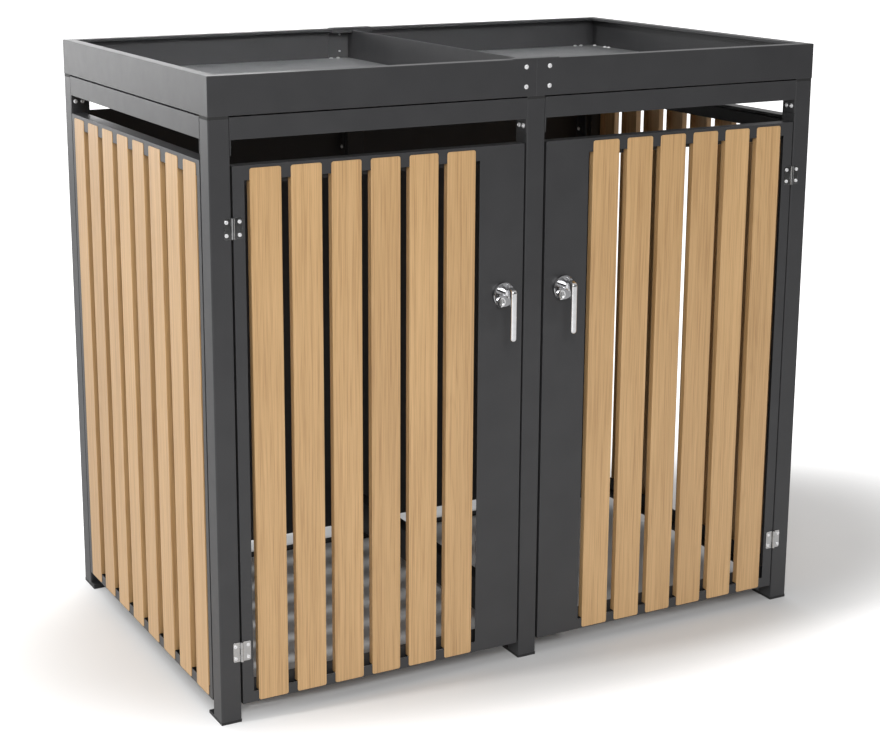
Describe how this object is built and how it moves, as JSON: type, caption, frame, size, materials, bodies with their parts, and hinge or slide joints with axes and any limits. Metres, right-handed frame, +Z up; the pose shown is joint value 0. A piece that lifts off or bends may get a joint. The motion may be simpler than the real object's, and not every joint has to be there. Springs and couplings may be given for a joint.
{
  "type": "wheelie bin store",
  "caption": "Wheelie bin store with oak-look slatted doors and sides in a dark metal frame, lever handles with locks, an open base and a divided planter tray on top.",
  "frame": {"origin": "middle of the footprint at ground level", "axes": "+X along the front to the viewer's right, -Y out of the doors, +Z up"},
  "size_m": [1.3224, 0.8468, 1.2],
  "materials": {
    "anthracite": "fine matt powder coat",
    "oak_coat": "oak look coating with fine grain",
    "black_coat": "matt black coat",
    "black_plastic": "matt",
    "floor_grey": "pale grey coat",
    "stainless": "brushed",
    "chromed": "polished",
    "zinc_steel": "bright zinc"
  },
  "bodies": {
    "frame": {"post_front_left": "anthracite", "post_front_centre": "anthracite", "post_front_right": "anthracite", "front_rail_left": "anthracite", "tray_front_left": "anthracite", "front_rail_right": "anthracite", "tray_front_right": "anthracite", "tray_front_splice": "anthracite", "post_rear_left": "anthracite", "post_rear_centre": "anthracite", "post_rear_right": "anthracite", "rear_rail_left": "anthracite", "tray_rear_left": "anthracite", "rear_rail_right": "anthracite", "tray_rear_right": "anthracite", "tray_rear_splice": "anthracite", "side_rail_left": "anthracite", "rear_panel_left": "anthracite", "side_panel_left": "anthracite", "side_slats_left": "oak_coat", "tray_side_left": "anthracite", "tray_floor_left": "floor_grey", "side_rail_right": "anthracite", "rear_panel_right": "anthracite", "side_panel_right": "anthracite", "side_slats_right": "oak_coat", "tray_side_right": "anthracite", "tray_floor_right": "floor_grey", "foot_plates": "black_coat", "post_caps": "black_plastic", "centre_top_tie": "black_coat", "centre_bottom_tie": "black_coat", "rear_bottom_tie": "black_coat", "side_slat_bars": "black_coat", "panel_spacers": "black_plastic", "door_stops": "black_plastic", "hinge_post_leaves": "stainless", "hinge_pins": "stainless", "tray_divider": "anthracite", "tray_screws": "zinc_steel", "frame_screws": "zinc_steel"},
    "left_door": {"door_left_panel": "anthracite", "door_left_slats": "oak_coat", "door_left_slat_bars": "black_coat", "hinge_left_door_leaves": "stainless", "handle_left_base": "chromed", "handle_left_barrel": "chromed"},
    "left_handle": {"handle_left_lever": "chromed", "handle_left_cam": "zinc_steel"},
    "left_key": {"handle_left_key_plug": "stainless"},
    "right_door": {"door_right_panel": "anthracite", "door_right_slats": "oak_coat", "door_right_slat_bars": "black_coat", "hinge_right_door_leaves": "stainless", "handle_right_base": "chromed", "handle_right_barrel": "chromed"},
    "right_handle": {"handle_right_lever": "chromed", "handle_right_cam": "zinc_steel"},
    "right_key": {"handle_right_key_plug": "stainless"}
  },
  "joints": [
    {"name": "left_door_hinge", "type": "hinge", "parent": "frame", "child": "left_door", "pos_m": [-0.61825, -0.3824, 0.536], "axis": [0, 0, -1], "range_deg": [0, 120]},
    {"name": "left_lever_turn", "type": "hinge", "parent": "left_door", "child": "left_handle", "pos_m": [-0.0675, -0.3794, 0.761], "axis": [0, 1, 0], "range_deg": [0, 90]},
    {"name": "left_key_turn", "type": "hinge", "parent": "left_door", "child": "left_key", "pos_m": [-0.077, -0.3794, 0.7425], "axis": [0, 1, 0], "range_deg": [0, 90]},
    {"name": "right_door_hinge", "type": "hinge", "parent": "frame", "child": "right_door", "pos_m": [0.61825, -0.3824, 0.536], "axis": [0, 0, 1], "range_deg": [0, 120]},
    {"name": "right_lever_turn", "type": "hinge", "parent": "right_door", "child": "right_handle", "pos_m": [0.0675, -0.3794, 0.761], "axis": [0, -1, 0], "range_deg": [0, 90]},
    {"name": "right_key_turn", "type": "hinge", "parent": "right_door", "child": "right_key", "pos_m": [0.058, -0.3794, 0.7425], "axis": [0, -1, 0], "range_deg": [0, 90]}
  ]
}
